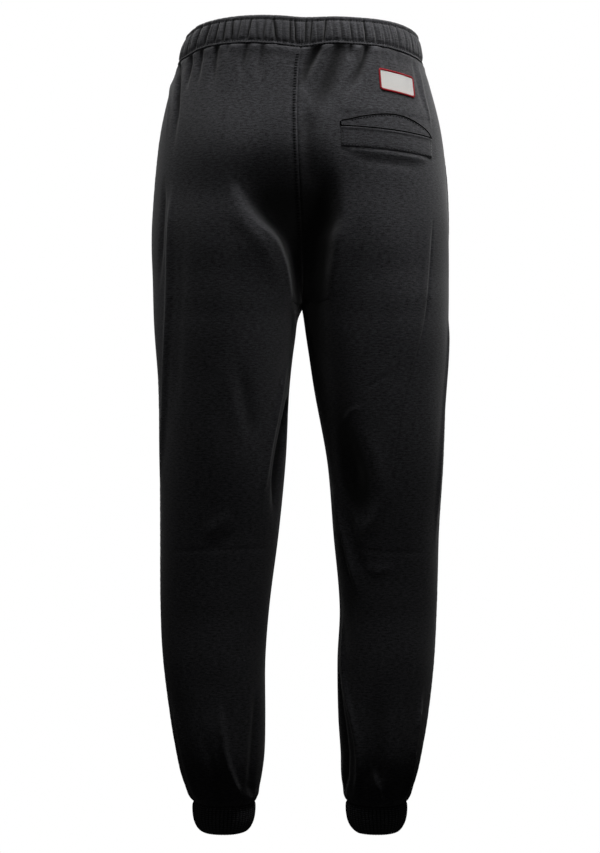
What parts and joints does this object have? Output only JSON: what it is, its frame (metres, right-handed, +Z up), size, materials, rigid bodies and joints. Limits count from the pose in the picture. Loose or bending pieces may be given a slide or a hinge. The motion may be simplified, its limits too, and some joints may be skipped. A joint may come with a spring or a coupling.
{
  "type": "jogger sweatpants",
  "caption": "Black fleece jogger sweatpants, filled out as worn, with gathered waistband, back welt pocket, side pockets and ribbed ankle cuffs.",
  "frame": {"origin": "the middle of the waistband ring, halfway up the band, where the wearer holds the garment", "axes": "+Z up along the body, the front faces -Y, the wearer's left is +X"},
  "size_m": [0.3886, 0.2579, 1.0265],
  "materials": {
    "fleece": "matt brushed-back cotton and polyester jersey, black, fine knit lines",
    "rib": "matt rib knit, black",
    "patch": "plain woven label cloth, off-white with a red edge"
  },
  "bodies": {
    "root": {"waistband": "fleece", "back_left_leg": "fleece", "back_right_leg": "fleece", "front_left_leg": "fleece", "front_right_leg": "fleece", "cuff_left": "rib", "cuff_right": "rib", "back_pocket_welt": "fleece", "back_pocket_facing": "fleece", "back_patch": "patch", "side_pocket_left": "fleece", "side_pocket_right": "fleece"}
  },
  "joints": []
}
